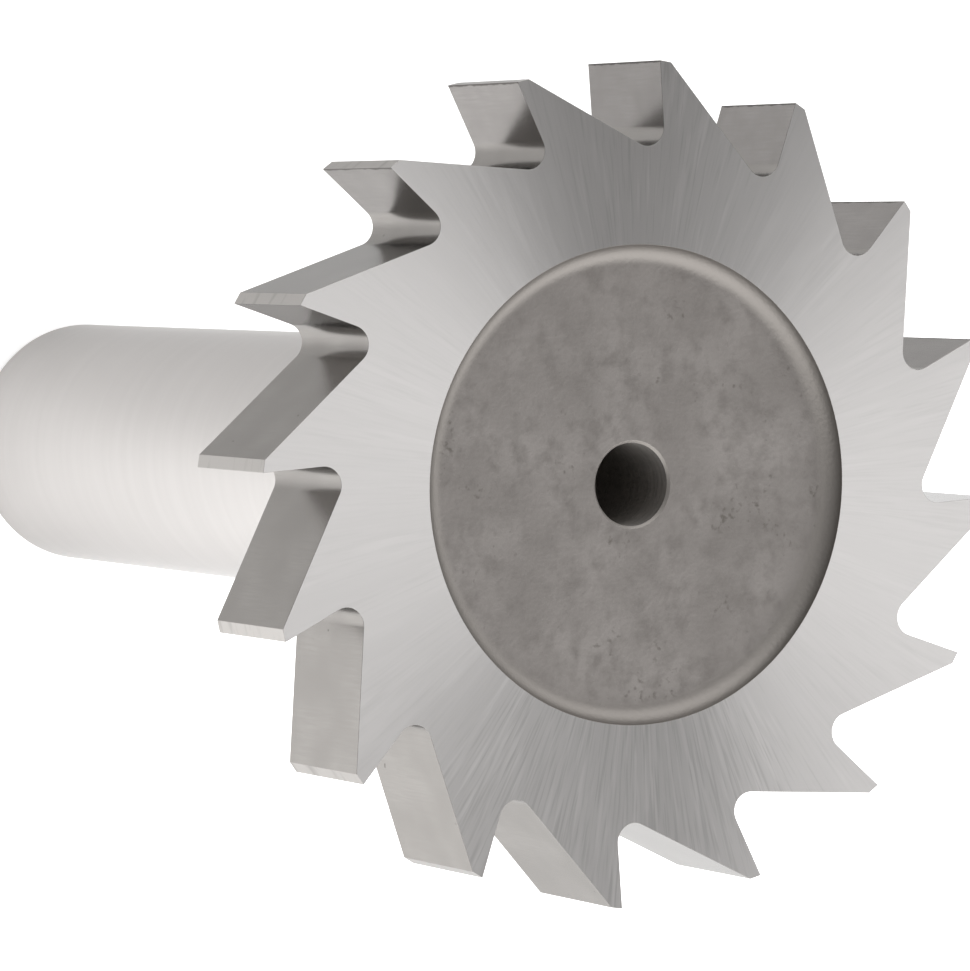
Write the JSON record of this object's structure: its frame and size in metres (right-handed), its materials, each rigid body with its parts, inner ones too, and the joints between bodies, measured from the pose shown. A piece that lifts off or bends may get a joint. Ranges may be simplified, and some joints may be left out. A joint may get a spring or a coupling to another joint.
{
  "type": "woodruff keyseat cutter",
  "caption": "Shank-type woodruff keyseat cutter: a narrow toothed disc with straight relieved teeth and a recessed face, on a reduced neck and a plain round shank.",
  "frame": {"origin": "centre of the shank's flat end, which is the lowest face of the tool as it stands", "axes": "+Z along the tool's axis from the shank's end to the cutting face; +X through a tooth's cutting edge; seen from the cutting face the teeth cut counter-clockwise"},
  "size_m": [0.0382, 0.0382, 0.0587],
  "materials": {
    "ground_steel": "ground, satin, with a dull heat-treated recess"
  },
  "bodies": {
    "root": {"keyseat_cutter": "ground_steel"}
  },
  "joints": []
}
